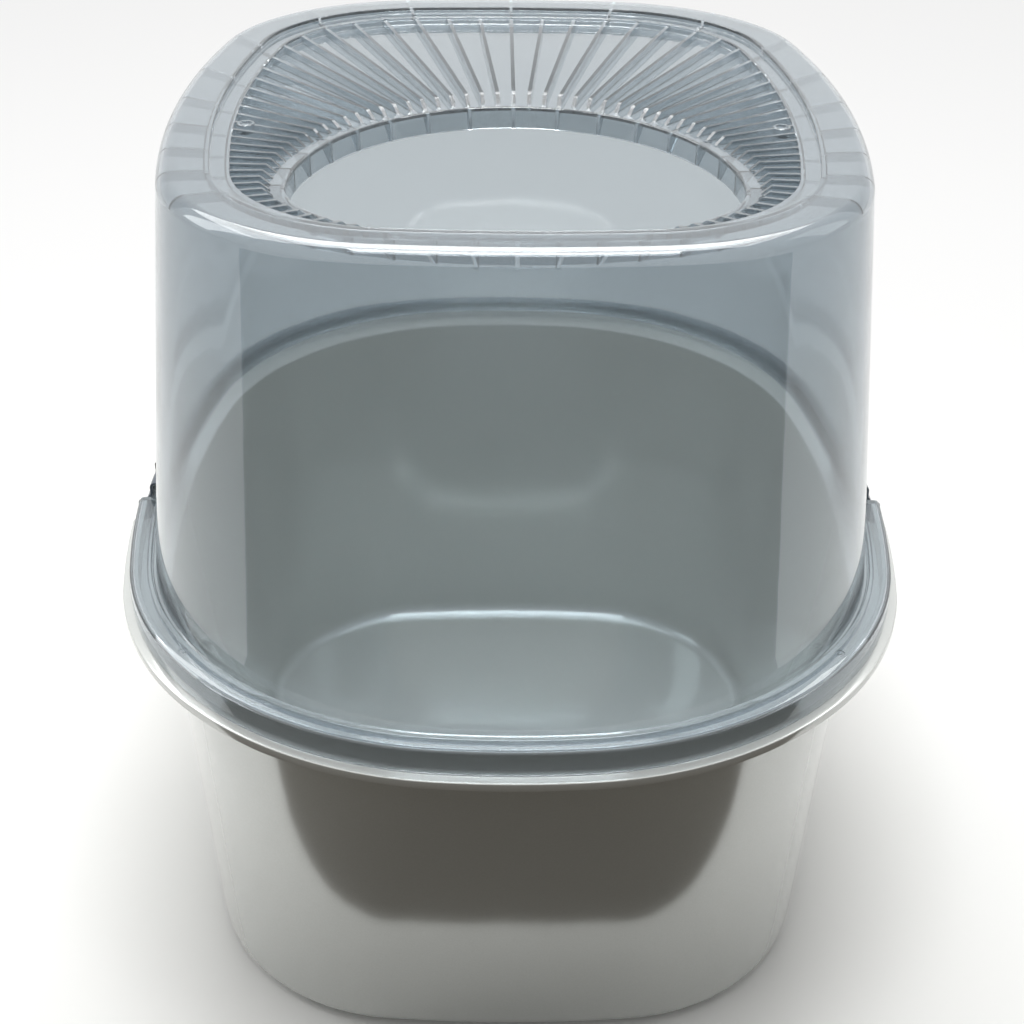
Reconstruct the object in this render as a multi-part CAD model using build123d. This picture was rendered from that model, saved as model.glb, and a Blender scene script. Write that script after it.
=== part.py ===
"""Top entry litter box: an open pan, a clear hood with an entry hole in its top, and two side clips.

Frame: millimetres, +Z up, origin at the centre of the pan's base. The front faces -Y.
Every plan outline is an oval of eight tangent arcs. Where a height is called "low", "top" or
"floor", it is measured up from the surface that the pan stands on.

The feature that sets this hood apart is its top: upstanding ribs fan out from one line over
the entry hole, and every third one is carried on by gussets under the rim, beside the
hole's collar and inside the flange.
"""

import os
from dataclasses import dataclass
from math import cos, pi, radians, sin, sqrt, tan

from build123d import *


# ---------------------------------------------------------------- driving dimensions

# every outline: the angle that half of its front flat, and half of its side flat, turns through
FRONT_TURN = 5.2
SIDE_TURN = 9.6

# flange: the widest part of the hood, a flat ring round its foot with a skirt turned down
FLANGE_HALF_WIDTH = 204.8
FLANGE_HALF_DEPTH = 249.6
FLANGE_CORNER_R = 179.0
FLANGE_TOP = 234.8
FLANGE_EDGE_R = 4.0
SKIRT_HEIGHT = 14.2
RING_WIDTH = 11.6
RING_STEP = 3.3

# hood wall: from its root on the flange up to the shoulder, with tighter corners at the top
HOOD_HEIGHT = 213.6
HOOD_WALL = 2.3
ROOT_INSET = 13.7
ROOT_BEAD = 1.4
ROOT_BEAD_HEIGHT = 1.2
TOP_SIDE_LEAN = 23.0
TOP_END_LEAN = 31.6
TOP_CORNER_R = 109.0
SHOULDER_R = 7.3

# hood top: a raised rim, a ledge one step below it, and a plate one step below the ledge
RIM_WIDTH = 23.2
RIM_CORNER_R = 88.1
LEDGE_STEP = 3.5
LEDGE_WIDTH = 9.0
PLATE_STEP = 4.2

# entry hole: two half ellipses that meet at its widest line, with a collar round it
HOLE_HALF_WIDTH = 102.4
HOLE_WIDEST_Y = -107.1
HOLE_BACK = 116.1
HOLE_FRONT = 65.7
COLLAR_DEPTH = 11.3

# rib fan: upright ribs on the plate, all pointing at one line, between ledge and collar
RIB_COUNT = 90
RIB_FOCUS_Y = -95.6
RIB_THICK = 2.0
RIB_DROP = 0.3
RIB_SLOPE = 4.5
COLLAR_RING_SIDE = 6.5
COLLAR_RING_BACK = 6.0
COLLAR_RING_FRONT = 1.5
GUSSET_EVERY = 3
GUSSET_THICK = 1.8
COLLAR_GUSSET = 9.0

# pan: drafted wall, flat ledge that the skirt sits on, upstand inside the skirt, lip outside it
PAN_WALL = 2.5
PAN_INSET = 17.1
FOOT_SIDE_LEAN = 13.7
FOOT_END_LEAN = 33.6
FOOT_CORNER_R = 110.6
FOOT_HEIGHT = 16.0
FOOT_DRAFT = 6.0
FOOT_ROUND = 12.3
PAN_FLOOR = 3.6
FOOT_RECESS = 1.0
FOOT_WIDTH = 9.0
LEDGE_THICK = 2.4
LIP_PROUD = 4.4
LIP_HEIGHT = 4.7
LIP_EDGE = 1.0
UPSTAND_THICK = 2.4

# fits between the pan and the hood
SEAT_GAP = 0.3
UPSTAND_GAP = 0.5

# side clips, in recesses of the flange and the lip
CLIP_LENGTH = 60.0
CLIP_WALL = 1.3
CLIP_ARM = 1.8
CLIP_END_GAP = 2.0
CLIP_AXIS_INSET = 10.4
CLIP_AXIS_HEIGHT = 4.2
CLIP_ROD_R = 1.9
CLIP_ROD_SHORT = 1.0
CLIP_RUNNING_GAP = 0.3
CLIP_WRAP = 215.0
CLIP_FLARE_START = 3.6
CLIP_FLARE_HEIGHT = 2.4
CLIP_BEAD = 1.2
CLIP_BEAD_HEIGHT = 2.2
CLIP_BEAD_GAP = 0.3
CLIP_TAB = 4.0
CLIP_TAB_HEIGHT = 5.0
RECESS_DEPTH = 8.8
CATCH_OVERHANG = 0.5
LUG_LENGTH = 4.0
LUG_PITCH = 30.0
LUG_GAP = 0.5

# how finely long walls and rounded edges are divided into straight bands
WALL_BANDS = 9
ROUND_STEPS = 4
EDGE_STEPS = 3

# how far a cutting block reaches past what it cuts
CUT_PAST = 1.0


# ---------------------------------------------------------------- outlines

@dataclass(frozen=True)
class Oval:
    """Eight tangent arcs: slightly curved flats at front, back and sides, and four round corners.

    The flats turn through the same angles on every oval, so a wall between two ovals has its
    straight lines along the tangent points and can be unrolled flat.
    """

    half_width: float
    half_depth: float
    corner_r: float

    def inset(self, d):
        """The parallel oval, d inside this one."""
        return Oval(self.half_width - d, self.half_depth - d, self.corner_r - d)

    def between(self, other, t):
        """The oval a share t of the way to another one."""
        mine = (self.half_width, self.half_depth, self.corner_r)
        theirs = (other.half_width, other.half_depth, other.corner_r)
        return Oval(*(m + (o - m) * t for m, o in zip(mine, theirs)))

    def reaches(self):
        """Distances of the corner centre from the front flat's centre and the side flat's."""
        width = self.half_width - self.corner_r
        depth = self.half_depth - self.corner_r
        sf, cf = sin(radians(FRONT_TURN)), 1 - cos(radians(FRONT_TURN))
        ss, cs = sin(radians(SIDE_TURN)), 1 - cos(radians(SIDE_TURN))
        whole = sf * ss - cf * cs
        return (width * ss - depth * cs) / whole, (depth * sf - width * cf) / whole

    def face(self, z=0.0):
        """The flat face inside the outline, at height z."""
        from_front, from_side = self.reaches()
        cx = from_front * sin(radians(FRONT_TURN))
        cy = from_side * sin(radians(SIDE_TURN))
        back_y = cy - from_front * cos(radians(FRONT_TURN))
        side_x = cx - from_side * cos(radians(SIDE_TURN))
        front_r = from_front + self.corner_r
        side_r = from_side + self.corner_r
        turn = 90 - FRONT_TURN - SIDE_TURN
        arcs = [
            CenterArc((side_x, 0), side_r, -SIDE_TURN, 2 * SIDE_TURN),
            CenterArc((cx, cy), self.corner_r, SIDE_TURN, turn),
            CenterArc((0, back_y), front_r, 90 - FRONT_TURN, 2 * FRONT_TURN),
            CenterArc((-cx, cy), self.corner_r, 90 + FRONT_TURN, turn),
            CenterArc((-side_x, 0), side_r, 180 - SIDE_TURN, 2 * SIDE_TURN),
            CenterArc((-cx, -cy), self.corner_r, 180 + SIDE_TURN, turn),
            CenterArc((0, -back_y), front_r, 270 - FRONT_TURN, 2 * FRONT_TURN),
            CenterArc((cx, -cy), self.corner_r, 270 + FRONT_TURN, turn),
        ]
        return Pos(0, 0, z) * make_face(Wire(arcs))


# ---------------------------------------------------------------- heights and places that follow

SKIRT_LOW = FLANGE_TOP - SKIRT_HEIGHT
ROOT_LOW = FLANGE_TOP - RING_STEP
HOOD_TOP = FLANGE_TOP + HOOD_HEIGHT
LEDGE_LOW = HOOD_TOP - LEDGE_STEP
PLATE_LOW = LEDGE_LOW - PLATE_STEP
PAN_LEDGE = SKIRT_LOW - SEAT_GAP
UPSTAND_TOP = FLANGE_TOP - HOOD_WALL - SEAT_GAP
UPSTAND_INSET = HOOD_WALL + UPSTAND_GAP
UPSTAND_BACK = UPSTAND_INSET + UPSTAND_THICK + UPSTAND_GAP

FLANGE = Oval(FLANGE_HALF_WIDTH, FLANGE_HALF_DEPTH, FLANGE_CORNER_R)
ROOT = FLANGE.inset(ROOT_INSET)
HOOD_EDGE = Oval(ROOT.half_width - TOP_SIDE_LEAN, ROOT.half_depth - TOP_END_LEAN, TOP_CORNER_R)
RIM_INNER = Oval(HOOD_EDGE.half_width - RIM_WIDTH, HOOD_EDGE.half_depth - RIM_WIDTH, RIM_CORNER_R)
LEDGE_INNER = RIM_INNER.inset(LEDGE_WIDTH)
PAN_TOP = FLANGE.inset(PAN_INSET)
PAN_FOOT = Oval(PAN_TOP.half_width - FOOT_SIDE_LEAN, PAN_TOP.half_depth - FOOT_END_LEAN,
                FOOT_CORNER_R)

AXIS_X = FLANGE_HALF_WIDTH - CLIP_AXIS_INSET
AXIS_Z = FLANGE_TOP + CLIP_AXIS_HEIGHT
RECESS_HALF = CLIP_LENGTH / 2 + CLIP_END_GAP
RECESS_FACE = FLANGE_HALF_WIDTH - RECESS_DEPTH
CATCH_X = RECESS_FACE + CATCH_OVERHANG
BARREL_R = CLIP_ROD_R + CLIP_RUNNING_GAP
BARREL_OUTER_R = BARREL_R + CLIP_WALL
FAN_REACH = 2 * FLANGE_HALF_DEPTH


# ---------------------------------------------------------------- building blocks

def slab(oval, low, high):
    """A flat plate with an oval outline."""
    return extrude(oval.face(low), high - low)


def ring(outer, inner, low, high):
    """An oval ring with straight walls."""
    return slab(outer, low, high) - slab(inner, low, high)


def lofted(sections):
    """A solid with straight bands through a stack of (oval, height) sections."""
    return loft([oval.face(z) for oval, z in sections], ruled=True)


def wall_sections(bottom, low, top, high, inset):
    """Sections of a wall between two ovals, drawn in by an even inset."""
    shares = [k / WALL_BANDS for k in range(WALL_BANDS + 1)]
    return [(bottom.between(top, t).inset(inset), low + (high - low) * t) for t in shares]


def round_over(oval, low, radius, steps):
    """Sections of a quarter round that starts upright at the oval and turns inwards."""
    turns = [pi / 2 * k / steps for k in range(1, steps + 1)]
    return [(oval.inset(radius * (1 - cos(a))), low + radius * sin(a)) for a in turns]


def side_box(x_in, x_out, half_length, low, high):
    """A block at the +X side, centred on the middle of the side."""
    size = (x_out - x_in, 2 * half_length, high - low)
    return Pos((x_in + x_out) / 2, 0, (low + high) / 2) * Box(*size)


def both_sides(solid):
    """A solid at the +X side together with its mirror image."""
    return [solid, mirror(solid, about=Plane.YZ)]


# ---------------------------------------------------------------- entry hole

def hole_face(grow, z):
    """The hole's outline, grown outwards, as a face at height z."""
    half_width = HOLE_HALF_WIDTH + grow
    centre = (0, HOLE_WIDEST_Y)
    back = EllipticalCenterArc(centre, half_width, HOLE_BACK + grow, 0, arc_size=180)
    front = EllipticalCenterArc(centre, half_width, HOLE_FRONT + grow, 180, arc_size=180)
    return Pos(0, 0, z) * make_face(Wire([back, front]))


def hole_plug(grow, low, high):
    """A straight plug with the hole's outline."""
    return extrude(hole_face(grow, low), high - low)


def hole_reach(angle, side, back, front):
    """Distance from the ribs' focus to the hole's outline, grown to the side, back and front.

    A ray from the focus meets an ellipse where a t^2 + 2 b t + c = 0. The back half is tried
    first, and the front half holds where the ray ends in front of the widest line.
    """
    dx, dy = cos(angle), sin(angle)
    start = RIB_FOCUS_Y - HOLE_WIDEST_Y
    half_width = HOLE_HALF_WIDTH + side
    for half_depth in (HOLE_BACK + back, HOLE_FRONT + front):
        a = (dx / half_width) ** 2 + (dy / half_depth) ** 2
        b = start * dy / half_depth ** 2
        c = (start / half_depth) ** 2 - 1
        t = (sqrt(b * b - a * c) - b) / a
        if start + t * dy >= 0:
            break
    return t


# ---------------------------------------------------------------- rib fan

def fan(count, thick, outline):
    """Upright plates round the ribs' focus. outline(angle) gives each one's side view."""
    plates = []
    for k in range(count):
        angle = pi / 2 + 2 * pi * k / count
        side_view = make_face(Polyline(*outline(angle), close=True))
        plate = extrude(Plane.XZ * side_view, thick / 2, both=True)
        plates.append(Pos(0, RIB_FOCUS_Y, 0) * Rot(0, 0, angle * 180 / pi) * plate)
    return Part() + plates


def rib_outline(angle):
    """A rib on the plate, with its inner end sloped down to the collar's smooth ring."""
    inner = hole_reach(angle, COLLAR_RING_SIDE, COLLAR_RING_BACK, COLLAR_RING_FRONT)
    low, high = PLATE_LOW - HOOD_WALL / 2, LEDGE_LOW - RIB_DROP
    return [(inner, low), (FAN_REACH, low), (FAN_REACH, high), (inner + RIB_SLOPE, high),
            (inner, PLATE_LOW)]


def collar_gusset_outline(angle):
    """A triangle between the collar's outside and the plate's underside."""
    inner = hole_reach(angle, HOOD_WALL / 2, HOOD_WALL / 2, HOOD_WALL / 2)
    top = PLATE_LOW - HOOD_WALL / 2
    return [(inner, PLATE_LOW - COLLAR_DEPTH), (inner + HOOD_WALL, PLATE_LOW - COLLAR_DEPTH),
            (inner + COLLAR_GUSSET, top), (inner, top)]


def band_outline(low, high):
    """A plate from the hole outwards, between two heights."""
    def outline(angle):
        inner = hole_reach(angle, 0, 0, 0)
        return [(inner, low), (FAN_REACH, low), (FAN_REACH, high), (inner, high)]
    return outline


def ribs():
    """The ribs on the plate, trimmed in the ledge's step."""
    trim = slab(LEDGE_INNER.inset(-HOOD_WALL / 2), PLATE_LOW - HOOD_WALL, LEDGE_LOW)
    return fan(RIB_COUNT, RIB_THICK, rib_outline) & trim


def gussets():
    """Gussets in line with every third rib: under the rim, on the collar and in the flange."""
    count = RIB_COUNT // GUSSET_EVERY
    low = PLATE_LOW - HOOD_WALL
    high = HOOD_TOP - HOOD_WALL / 2
    under_rim = hood_form(HOOD_WALL / 2) - slab(LEDGE_INNER.inset(-HOOD_WALL / 2), low, high)
    under_rim -= slab(RIM_INNER.inset(-HOOD_WALL / 2), LEDGE_LOW - HOOD_WALL / 2, HOOD_TOP)
    at_rim = fan(count, GUSSET_THICK, band_outline(low, high)) & under_rim
    at_collar = fan(count, GUSSET_THICK, collar_gusset_outline)
    low = ROOT_LOW - HOOD_WALL
    high = FLANGE_TOP - HOOD_WALL / 2
    channel = ring(FLANGE.inset(UPSTAND_BACK), FLANGE.inset(RING_WIDTH - HOOD_WALL / 2), low, high)
    in_flange = fan(count, GUSSET_THICK, band_outline(low, high)) & channel
    return [at_rim, at_collar, in_flange]


# ---------------------------------------------------------------- hood

def wall_oval(z):
    """Outside of the hood's wall at height z."""
    return ROOT.between(HOOD_EDGE, (z - ROOT_LOW) / (HOOD_TOP - ROOT_LOW))


def hood_form(inset):
    """The filled form of wall, shoulder and rim, drawn in evenly by an inset."""
    low, turn = ROOT_LOW - inset, HOOD_TOP - SHOULDER_R
    sections = wall_sections(wall_oval(low), low, wall_oval(turn), turn, inset)
    sections += round_over(wall_oval(turn).inset(inset), turn, SHOULDER_R - inset, ROUND_STEPS)
    return lofted(sections)


def hood_outside():
    """The filled outer form: flange block with its groove and bead, wall, shoulder and rim."""
    edge = FLANGE_TOP - FLANGE_EDGE_R
    rolled = round_over(FLANGE, edge, FLANGE_EDGE_R, EDGE_STEPS)
    flange = slab(FLANGE, SKIRT_LOW, edge) + lofted([(FLANGE, edge)] + rolled)
    flange -= slab(FLANGE.inset(RING_WIDTH), ROOT_LOW, FLANGE_TOP)
    bead = slab(ROOT.inset(-ROOT_BEAD), ROOT_LOW - HOOD_WALL / 2, ROOT_LOW + ROOT_BEAD_HEIGHT)
    return flange + bead + hood_form(0)


def hood_inside():
    """The filled inner form: channel under the flange, and the cabin up to the rim's underside."""
    under_groove = ROOT_LOW - HOOD_WALL
    outer = FLANGE.inset(HOOD_WALL)
    channel = slab(outer, SKIRT_LOW, under_groove)
    channel += ring(outer, FLANGE.inset(RING_WIDTH - HOOD_WALL), under_groove,
                    FLANGE_TOP - HOOD_WALL)
    return channel + hood_form(HOOD_WALL)


def hood_top():
    """Ledge and plate with their step walls."""
    under_ledge, under_plate = LEDGE_LOW - HOOD_WALL, PLATE_LOW - HOOD_WALL
    top = ring(RIM_INNER.inset(-HOOD_WALL), RIM_INNER, under_ledge, HOOD_TOP - HOOD_WALL)
    top += ring(RIM_INNER, LEDGE_INNER, under_ledge, LEDGE_LOW)
    top += ring(LEDGE_INNER.inset(-HOOD_WALL), LEDGE_INNER, under_plate, LEDGE_LOW)
    return top + slab(LEDGE_INNER, under_plate, PLATE_LOW)


def recess_wall():
    """The skirt's inward turn at a clip recess."""
    solid = side_box(RECESS_FACE - HOOD_WALL, FLANGE_HALF_WIDTH + CUT_PAST,
                     RECESS_HALF + HOOD_WALL, SKIRT_LOW, FLANGE_TOP - FLANGE_EDGE_R / 2)
    return solid & slab(FLANGE, SKIRT_LOW, FLANGE_TOP)


def recess_space():
    """The empty space of a clip recess in the hood."""
    return side_box(RECESS_FACE, FLANGE_HALF_WIDTH + CUT_PAST, RECESS_HALF,
                    SKIRT_LOW - CUT_PAST, FLANGE_TOP + CUT_PAST)


def hinge_rod():
    """The moulded rod on two lugs that a clip snaps onto."""
    length = CLIP_LENGTH - 2 * CLIP_ROD_SHORT
    rod = Pos(AXIS_X, 0, AXIS_Z) * Rot(90, 0, 0) * Cylinder(CLIP_ROD_R, length)
    foot = ROOT_LOW - HOOD_WALL / 2
    for y in (-LUG_PITCH / 2, LUG_PITCH / 2):
        lug = side_box(AXIS_X - CLIP_ROD_R, AXIS_X + CLIP_ROD_R, LUG_LENGTH / 2, foot, AXIS_Z)
        rod += Pos(0, y, 0) * lug
    return rod


def make_hood():
    """The clear hood in one moulding."""
    hood = hood_outside() - hood_inside()
    hood -= slab(RIM_INNER, HOOD_TOP - 2 * HOOD_WALL, HOOD_TOP + CUT_PAST)
    hood += hood_top()
    hood += hole_plug(HOOD_WALL, PLATE_LOW - COLLAR_DEPTH, PLATE_LOW)
    hood += ribs()
    hood += gussets()
    hood -= hole_plug(0, PLATE_LOW - COLLAR_DEPTH - CUT_PAST, HOOD_TOP + CUT_PAST)
    hood += both_sides(recess_wall())
    hood -= both_sides(recess_space())
    hood += both_sides(hinge_rod())
    return hood


# ---------------------------------------------------------------- pan

def foot_oval(z):
    """Outside of the pan's foot at height z."""
    return PAN_FOOT.inset(tan(radians(FOOT_DRAFT)) * (FOOT_HEIGHT - z))


def pan_form(inset, radius, floor):
    """The filled form of the pan, drawn in by an inset, with a foot of the given round."""
    centre_z = floor + radius
    centre = foot_oval(centre_z).inset(inset + radius / cos(radians(FOOT_DRAFT)))
    turns = [radians(90 - FOOT_DRAFT) * k / ROUND_STEPS for k in range(ROUND_STEPS + 1)]
    sections = [(centre.inset(-radius * sin(a)), centre_z - radius * cos(a)) for a in turns]
    sections += wall_sections(PAN_FOOT, FOOT_HEIGHT, PAN_TOP, PAN_LEDGE, inset)
    return lofted(sections)


def pan_rim():
    """Flat ledge, turned-down lip and upstand, all parallel to the hood's flange."""
    outer = FLANGE.inset(-LIP_PROUD)
    rim = slab(outer, PAN_LEDGE - LEDGE_THICK, PAN_LEDGE - LIP_EDGE)
    rim += lofted([(outer, PAN_LEDGE - LIP_EDGE), (outer.inset(LIP_EDGE), PAN_LEDGE)])
    rim += ring(outer, outer.inset(LEDGE_THICK), PAN_LEDGE - LIP_HEIGHT, PAN_LEDGE - LIP_EDGE)
    upstand = FLANGE.inset(UPSTAND_INSET)
    rim += ring(upstand, upstand.inset(UPSTAND_THICK), PAN_LEDGE - LEDGE_THICK, UPSTAND_TOP)
    return rim


def pan_notch():
    """The gap in lip and upstand at a clip, as wide as the hood's recess with its end walls."""
    half = RECESS_HALF + HOOD_WALL + UPSTAND_GAP
    notch = side_box(CATCH_X, FLANGE_HALF_WIDTH + 2 * LIP_PROUD, RECESS_HALF,
                     PAN_LEDGE - LIP_HEIGHT - CUT_PAST, UPSTAND_TOP + CUT_PAST)
    inner = FLANGE_HALF_WIDTH - UPSTAND_INSET - 2 * UPSTAND_THICK
    notch += side_box(inner, FLANGE_HALF_WIDTH - UPSTAND_GAP, half, PAN_LEDGE,
                      UPSTAND_TOP + CUT_PAST)
    return notch


def make_pan():
    """The opaque pan in one moulding."""
    pan = pan_form(0, FOOT_ROUND, 0) + pan_rim()
    pan -= pan_form(PAN_WALL, FOOT_ROUND - PAN_WALL, PAN_FLOOR)
    pan -= slab(foot_oval(0).inset(FOOT_ROUND + FOOT_WIDTH), 0, FOOT_RECESS)
    pan -= both_sides(pan_notch())
    return pan


# ---------------------------------------------------------------- clips

def clip_profile():
    """End view of a clip about its hinge axis: +X is outwards from the box, +Y is up."""
    reach = 2 * BARREL_OUTER_R
    barrel = Circle(BARREL_OUTER_R) - Circle(BARREL_R)
    open_from = radians(CLIP_WRAP)
    barrel -= make_face(Polyline(
        (0, 0), (reach * cos(open_from), reach * sin(open_from)), (0, -2 * reach),
        (reach, -reach), (reach, 0), (0, 0)))
    arm_in = CATCH_X - AXIS_X + CLIP_BEAD_GAP + CLIP_BEAD
    arm_out = arm_in + CLIP_ARM
    flare_top = -CLIP_FLARE_START
    flare_low = flare_top - CLIP_FLARE_HEIGHT
    bead_top = PAN_LEDGE - LEDGE_THICK - 2 * CLIP_BEAD_GAP - AXIS_Z
    bead_low = bead_top - CLIP_BEAD_HEIGHT
    tab_low = bead_low - CLIP_TAB_HEIGHT
    arm = make_face(Polyline(
        (BARREL_R, 0), (BARREL_OUTER_R, 0), (BARREL_OUTER_R, flare_top), (arm_out, flare_low),
        (arm_out, bead_low), (arm_out + CLIP_TAB, tab_low), (arm_in + CLIP_TAB, tab_low),
        (arm_in, bead_low), (arm_in - CLIP_BEAD, bead_low + CLIP_BEAD / 2),
        (arm_in - CLIP_BEAD, bead_top - CLIP_BEAD / 2), (arm_in, bead_top),
        (arm_in, flare_low), (BARREL_R, flare_top), (BARREL_R, 0)))
    return barrel + arm


def lug_slots():
    """The gaps in a clip's barrel where the hood's lugs stand."""
    half = LUG_LENGTH / 2 + LUG_GAP
    wide = 4 * BARREL_OUTER_R
    slots = []
    for y in (-LUG_PITCH / 2, LUG_PITCH / 2):
        slots.append(Pos(0, y, BARREL_OUTER_R) * Box(wide, 2 * half, 2 * BARREL_OUTER_R))
        slots.append(Pos(BARREL_R - wide / 2, y, 0) * Box(wide, 2 * half, wide))
    return slots


def make_clip():
    """The clip at the +X side, closed."""
    clip = extrude(Plane.XZ * clip_profile(), CLIP_LENGTH / 2, both=True) - lug_slots()
    return Pos(AXIS_X, 0, AXIS_Z) * clip


# ---------------------------------------------------------------- output

def main():
    """Write one STEP file per piece."""
    os.makedirs("parts", exist_ok=True)
    clip_right, clip_left = both_sides(make_clip())
    pieces = {
        "litter_pan": make_pan(),
        "hood": make_hood(),
        "clip_right": clip_right,
        "clip_left": clip_left,
    }
    for name, piece in pieces.items():
        export_step(piece, f"parts/{name}.step")
        box = piece.bounding_box()
        print(f"{name}: {len(piece.solids())} solid, {piece.volume / 1000:.1f} cm3, "
              f"z {box.min.Z:.1f} to {box.max.Z:.1f}")


main()
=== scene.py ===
# %% [markdown]
# # A top entry litter box
# The real object is two large mouldings: a deep oval pan of silver grey plastic, and a clear,
# smoke grey hood that stands on it. The cat climbs in through a hole in the hood's ribbed top.
# Two small clips at the sides hold hood and pan together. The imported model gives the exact
# places, and this notebook makes smooth pieces over it, because a clear glossy wall shows every
# flat of a coarse mesh.

import bpy
import numpy as np
from mathutils import Matrix, Vector


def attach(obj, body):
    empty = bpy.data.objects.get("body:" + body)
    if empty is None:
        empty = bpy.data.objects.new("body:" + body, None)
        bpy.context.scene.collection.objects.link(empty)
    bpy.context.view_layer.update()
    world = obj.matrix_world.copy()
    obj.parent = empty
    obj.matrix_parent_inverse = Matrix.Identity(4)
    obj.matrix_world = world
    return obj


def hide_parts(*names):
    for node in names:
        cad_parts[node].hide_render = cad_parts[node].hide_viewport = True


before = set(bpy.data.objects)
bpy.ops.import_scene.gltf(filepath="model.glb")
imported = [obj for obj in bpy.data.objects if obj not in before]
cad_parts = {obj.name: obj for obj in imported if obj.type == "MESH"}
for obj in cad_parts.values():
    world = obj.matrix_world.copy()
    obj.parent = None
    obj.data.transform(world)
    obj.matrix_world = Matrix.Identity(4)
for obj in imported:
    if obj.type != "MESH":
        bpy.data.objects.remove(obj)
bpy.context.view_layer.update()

# %% [markdown]
# ## Sizes
# These are the sizes of the real mouldings in millimetres, as the CAD model has them. Heights are
# measured from the floor, and the front of the box faces -Y.

# %% Sizes of the mouldings
FRONT_TURN, SIDE_TURN = np.radians(5.2), np.radians(9.6)

FLANGE = (204.8, 249.6, 179.0)
FLANGE_TOP, FLANGE_EDGE_R, SKIRT_HEIGHT = 234.8, 4.0, 14.2
RING_WIDTH, RING_STEP = 11.6, 3.3

HOOD_TOP = FLANGE_TOP + 213.6
HOOD_WALL, SHOULDER_R = 2.3, 7.3
ROOT_INSET, ROOT_BEAD, ROOT_BEAD_HEIGHT = 13.7, 1.4, 1.2
HOOD_EDGE = (168.1, 204.3, 109.0)
RIM_INNER = (144.9, 181.1, 88.1)
LEDGE_WIDTH = 9.0

SKIRT_LOW = FLANGE_TOP - SKIRT_HEIGHT
ROOT_LOW = FLANGE_TOP - RING_STEP
LEDGE_LOW = HOOD_TOP - 3.5
PLATE_LOW = LEDGE_LOW - 4.2
SHOULDER_LOW = HOOD_TOP - SHOULDER_R

HOLE_HALF_WIDTH, HOLE_BACK, HOLE_FRONT, HOLE_WIDEST_Y = 102.4, 116.1, 65.7, -107.1
COLLAR_LOW = PLATE_LOW - 11.3

PAN_WALL, PAN_FLOOR = 2.5, 3.6
PAN_LEDGE = SKIRT_LOW - 0.3
PAN_FOOT, PAN_TOP = (174.0, 198.9, 110.6), (187.7, 232.5, 161.9)
FOOT_HEIGHT, FOOT_DRAFT, FOOT_ROUND = 16.0, np.radians(6.0), 12.3
LIP_PROUD, LIP_HEIGHT, LEDGE_THICK = 4.4, 4.7, 2.4
UPSTAND_OUTER, UPSTAND_INNER, UPSTAND_TOP = 2.8, 5.2, FLANGE_TOP - 2.6

AXIS_X, AXIS_Z = 194.4, 239.0
RECESS_FACE, RECESS_HALF, CLEARANCE = 196.0, 32.0, 0.5
CATCH_X = RECESS_FACE + CLEARANCE
ROD_R, ROD_HALF, LUG_Y, LUG_HALF = 1.9, 29, 15, 2
CLIP_HALF, CLIP_RING_R, CLIP_RING_WALL, CLIP_ARM = 30, 2.2, 1.3, 1.8
SLOT_HALF, ARM_GAP = 2.5, 1.5
print("hood from", round(SKIRT_LOW, 1), "to", round(HOOD_TOP, 1), "mm")

# %% [markdown]
# ## Outlines
# Every outline of both mouldings is an oval of eight arcs. A good way to walk round such an oval
# is by the direction that its edge faces. Then every outline has its points in the same
# directions, so any two of them can be joined by straight lines that never cross, and each step
# turns by the same small angle, which is what a glossy surface needs to look smooth.

# %% Directions round an outline
STEPS = 432
FACING = 2 * np.pi * np.arange(STEPS) / STEPS
print("each step turns", round(360 / STEPS, 2), "degrees")


def oval_curve(oval, facing=FACING):
    """Points of an oval (half width, half depth, corner radius).

    The point that faces the angle a is the centre of its arc plus the arc's radius along
    (cos a, sin a). In one quarter the arcs are the side flat, the corner and the front flat.
    """
    half_width, half_depth, corner_r = oval
    width, depth = half_width - corner_r, half_depth - corner_r
    sf, cf = np.sin(FRONT_TURN), 1 - np.cos(FRONT_TURN)
    ss, cs = np.sin(SIDE_TURN), 1 - np.cos(SIDE_TURN)
    whole = sf * ss - cf * cs
    from_front = (width * ss - depth * cs) / whole
    from_side = (depth * sf - width * cf) / whole
    cx, cy = from_front * sf, from_side * ss
    quarter = np.arctan2(abs(np.sin(facing)), abs(np.cos(facing)))
    side, front = quarter < SIDE_TURN, quarter > np.pi / 2 - FRONT_TURN
    x0 = np.select([side, front], [cx - from_side * (1 - cs), 0 * facing], cx)
    y0 = np.select([side, front], [0 * facing, cy - from_front * (1 - cf)], cy)
    r = np.select([side, front], [from_side + corner_r, from_front + corner_r], corner_r)
    x = (x0 + r * np.cos(quarter)) * np.sign(np.cos(facing) + 1e-12)
    y = (y0 + r * np.sin(quarter)) * np.sign(np.sin(facing) + 1e-12)
    return np.column_stack([x, y])


def inset(oval, d):
    """The parallel oval, d inside this one."""
    return tuple(size - d for size in oval)


def between(first, second, t):
    """The oval a share t of the way from one oval to another."""
    return tuple(a + (b - a) * t for a, b in zip(first, second))


def hole_curve(grow, facing=FACING):
    """The entry hole, grown outwards: a point of an ellipse that faces the angle a is
    (A^2 cos a, B^2 sin a) / sqrt(A^2 cos^2 a + B^2 sin^2 a), with one B behind and one in front."""
    a = HOLE_HALF_WIDTH + grow
    b = np.where(np.sin(facing) >= 0, HOLE_BACK, HOLE_FRONT) + grow
    c, s = np.cos(facing), np.sin(facing)
    length = np.sqrt((a * c) ** 2 + (b * s) ** 2)
    return np.column_stack([a * a * c / length, HOLE_WIDEST_Y + b * b * s / length])


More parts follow.
